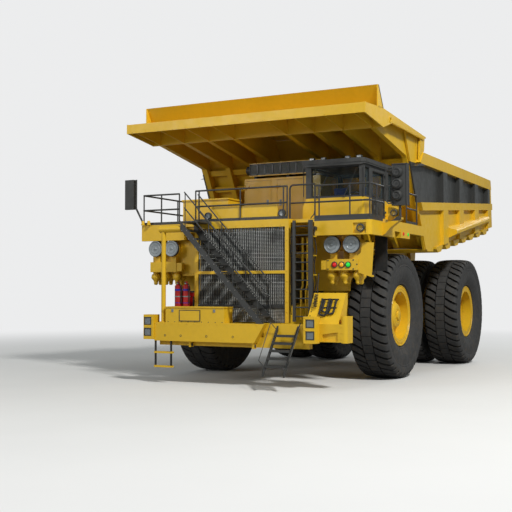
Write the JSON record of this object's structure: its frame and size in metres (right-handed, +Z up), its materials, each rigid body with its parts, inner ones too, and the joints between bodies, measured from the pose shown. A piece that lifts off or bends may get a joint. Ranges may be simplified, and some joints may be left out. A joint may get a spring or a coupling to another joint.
{
  "type": "rigid mining dump truck",
  "caption": "Rigid haul truck for open-pit mines: bed down, canopy over the cab, twin rear tyres, steerable front wheels and stairs on the grille.",
  "frame": {"origin": "on the ground under the middle of the truck's overall length and width", "axes": "+X to the truck's left, the cab's side; +Y towards the tail; +Z up"},
  "size_m": [8.6, 14.75, 7.9],
  "materials": {
    "yellow_paint": "gloss industrial enamel",
    "dark_grey_paint": "satin",
    "glass": "clear",
    "seat_fabric": "woven",
    "tyre_rubber": "matt",
    "chromed_rod": "polished",
    "red_paint": "gloss",
    "lamp_glass": "clear lens",
    "flap_rubber": "matt"
  },
  "bodies": {
    "chassis": {"air_cleaners": "yellow_paint", "battery_box": "yellow_paint", "cab_base": "yellow_paint", "cab_frame": "dark_grey_paint", "cab_glass": "glass", "cab_interior": "seat_fabric", "control_cabinet": "yellow_paint", "deck": "yellow_paint", "deck_box": "yellow_paint", "engine_block": "dark_grey_paint", "fire_bottles": "red_paint", "front_bumper": "yellow_paint", "front_struts": "yellow_paint", "grille": "yellow_paint", "guard_hoop": "yellow_paint", "handrails": "dark_grey_paint", "hanging_steps": "yellow_paint", "ladders": "dark_grey_paint", "lamps": "lamp_glass", "main_frame": "yellow_paint", "mirrors": "dark_grey_paint", "mudflaps": "flap_rubber", "radiator": "dark_grey_paint", "rear_axle": "yellow_paint", "rear_struts": "yellow_paint", "retard_grids": "dark_grey_paint", "side_tanks": "yellow_paint", "stairway": "dark_grey_paint"},
    "bed": {"body_floor": "yellow_paint", "body_front_wall": "yellow_paint", "body_canopy": "yellow_paint", "body_side_left": "yellow_paint", "body_side_right": "yellow_paint"},
    "door": {"cab_door": "dark_grey_paint", "cab_door_glass": "glass"},
    "battery_cover": {"battery_lid": "yellow_paint"},
    "box_cover": {"deck_box_lid": "yellow_paint"},
    "left_cabinet_door": {"cabinet_door_left": "yellow_paint"},
    "right_cabinet_door": {"cabinet_door_right": "yellow_paint"},
    "tie": {"tie_rod": "yellow_paint"},
    "knuckle_body_left": {"knuckle_left": "yellow_paint"},
    "front_wheel_left": {"front_rim_left": "yellow_paint", "front_tyre_left": "tyre_rubber"},
    "rear_wheels_left": {"rear_rims_left": "yellow_paint", "rear_tyres_left": "tyre_rubber"},
    "steer_barrel_body_left": {"steering_barrel_left": "yellow_paint"},
    "steer_rod_body_left": {"steering_rod_left": "chromed_rod"},
    "hoist_barrel_body_left": {"hoist_barrel_left": "yellow_paint"},
    "hoist_stage_body_left": {"hoist_stage_left": "chromed_rod"},
    "hoist_rod_body_left": {"hoist_rod_left": "chromed_rod"},
    "knuckle_body_right": {"knuckle_right": "yellow_paint"},
    "front_wheel_right": {"front_rim_right": "yellow_paint", "front_tyre_right": "tyre_rubber"},
    "rear_wheels_right": {"rear_rims_right": "yellow_paint", "rear_tyres_right": "tyre_rubber"},
    "steer_barrel_body_right": {"steering_barrel_right": "yellow_paint"},
    "steer_rod_body_right": {"steering_rod_right": "chromed_rod"},
    "hoist_barrel_body_right": {"hoist_barrel_right": "yellow_paint"},
    "hoist_stage_body_right": {"hoist_stage_right": "chromed_rod"},
    "hoist_rod_body_right": {"hoist_rod_right": "chromed_rod"}
  },
  "joints": [
    {"name": "bed_tilt", "type": "hinge", "parent": "chassis", "child": "bed", "pos_m": [0, 5.525, 3.5], "axis": [-1, 0, 0], "range_deg": [0, 45]},
    {"name": "hoist_swing_left", "type": "hinge", "parent": "chassis", "child": "hoist_barrel_body_left", "pos_m": [1.19, 1.775, 1.25], "axis": [-1, 0, 0], "range_deg": [-1, 29.2]},
    {"name": "hoist_stage_extend_left", "type": "slide", "parent": "hoist_barrel_body_left", "child": "hoist_stage_body_left", "axis": [0, -0.3752, 0.9269], "range_m": [0, 1.578]},
    {"name": "hoist_rod_extend_left", "type": "slide", "parent": "hoist_stage_body_left", "child": "hoist_rod_body_left", "axis": [0, -0.3752, 0.9269], "range_m": [0, 1.578]},
    {"name": "steer_left", "type": "hinge", "parent": "chassis", "child": "knuckle_body_left", "pos_m": [1.75, -2.225, 1.7875], "axis": [0, 0, 1], "range_deg": [-30, 30]},
    {"name": "front_wheel_spin_left", "type": "hinge", "parent": "knuckle_body_left", "child": "front_wheel_left", "pos_m": [2.82, -2.225, 1.7875], "axis": [1, 0, 0], "continuous": true},
    {"name": "rear_wheels_spin_left", "type": "hinge", "parent": "chassis", "child": "rear_wheels_left", "pos_m": [3.01, 4.125, 1.7875], "axis": [1, 0, 0], "continuous": true},
    {"name": "steer_barrel_swing_left", "type": "hinge", "parent": "chassis", "child": "steer_barrel_body_left", "pos_m": [1.06, -0.895, 1.48], "axis": [0, 0, 1], "range_deg": [-20, 20]},
    {"name": "steer_rod_extend_left", "type": "slide", "parent": "steer_barrel_body_left", "child": "steer_rod_body_left", "axis": [0.2178, -0.976, 0], "range_m": [-0.25, 0.25]},
    {"name": "hoist_swing_right", "type": "hinge", "parent": "chassis", "child": "hoist_barrel_body_right", "pos_m": [-1.19, 1.775, 1.25], "axis": [-1, 0, 0], "range_deg": [-1, 29.2]},
    {"name": "hoist_stage_extend_right", "type": "slide", "parent": "hoist_barrel_body_right", "child": "hoist_stage_body_right", "axis": [0, -0.3752, 0.9269], "range_m": [0, 1.578]},
    {"name": "hoist_rod_extend_right", "type": "slide", "parent": "hoist_stage_body_right", "child": "hoist_rod_body_right", "axis": [0, -0.3752, 0.9269], "range_m": [0, 1.578]},
    {"name": "steer_right", "type": "hinge", "parent": "chassis", "child": "knuckle_body_right", "pos_m": [-1.75, -2.225, 1.7875], "axis": [0, 0, 1], "range_deg": [-30, 30]},
    {"name": "front_wheel_spin_right", "type": "hinge", "parent": "knuckle_body_right", "child": "front_wheel_right", "pos_m": [-2.82, -2.225, 1.7875], "axis": [1, 0, 0], "continuous": true},
    {"name": "rear_wheels_spin_right", "type": "hinge", "parent": "chassis", "child": "rear_wheels_right", "pos_m": [-3.01, 4.125, 1.7875], "axis": [1, 0, 0], "continuous": true},
    {"name": "steer_barrel_swing_right", "type": "hinge", "parent": "chassis", "child": "steer_barrel_body_right", "pos_m": [-1.06, -0.895, 1.48], "axis": [0, 0, 1], "range_deg": [-20, 20]},
    {"name": "steer_rod_extend_right", "type": "slide", "parent": "steer_barrel_body_right", "child": "steer_rod_body_right", "axis": [-0.2178, -0.976, 0], "range_m": [-0.25, 0.25]},
    {"name": "tie_rod_swing", "type": "hinge", "parent": "knuckle_body_left", "child": "tie", "pos_m": [1.75, -1.585, 1.18], "axis": [0, 0, 1], "range_deg": [-30, 30]},
    {"name": "cab_door_hinge", "type": "hinge", "parent": "chassis", "child": "door", "pos_m": [3.192, -3.344, 5], "axis": [0, 0, 1], "range_deg": [0, 85]},
    {"name": "battery_lid_hinge", "type": "hinge", "parent": "chassis", "child": "battery_cover", "pos_m": [-1.685, -6.239, 2.0503], "axis": [-1, 0, 0], "range_deg": [0, 85]},
    {"name": "deck_box_lid_hinge", "type": "hinge", "parent": "chassis", "child": "box_cover", "pos_m": [-1.95, -4.649, 5.0503], "axis": [-1, 0, 0], "range_deg": [0, 80]},
    {"name": "right_cabinet_door_hinge", "type": "hinge", "parent": "chassis", "child": "right_cabinet_door", "pos_m": [-1.026, -3.747, 5], "axis": [0, 0, -1], "range_deg": [0, 100]},
    {"name": "left_cabinet_door_hinge", "type": "hinge", "parent": "chassis", "child": "left_cabinet_door", "pos_m": [0.004, -3.747, 5], "axis": [0, 0, -1], "range_deg": [0, 100]}
  ],
  "couplings": [
    {"joint": "hoist_swing_left", "follows": "bed_tilt", "ratio": 0.58184},
    {"joint": "hoist_stage_extend_left", "follows": "bed_tilt", "m_per_rad": 2.0024},
    {"joint": "hoist_rod_extend_left", "follows": "bed_tilt", "m_per_rad": 2.0024},
    {"joint": "steer_barrel_swing_left", "follows": "steer_left", "ratio": -0.17078},
    {"joint": "steer_rod_extend_left", "follows": "steer_left", "m_per_rad": 0.36686},
    {"joint": "hoist_swing_right", "follows": "bed_tilt", "ratio": 0.58184},
    {"joint": "hoist_stage_extend_right", "follows": "bed_tilt", "m_per_rad": 2.0024},
    {"joint": "hoist_rod_extend_right", "follows": "bed_tilt", "m_per_rad": 2.0024},
    {"joint": "steer_barrel_swing_right", "follows": "steer_left", "ratio": -0.17078},
    {"joint": "steer_rod_extend_right", "follows": "steer_left", "m_per_rad": -0.36686},
    {"joint": "steer_right", "follows": "steer_left", "ratio": 1},
    {"joint": "tie_rod_swing", "follows": "steer_left", "ratio": -1}
  ]
}
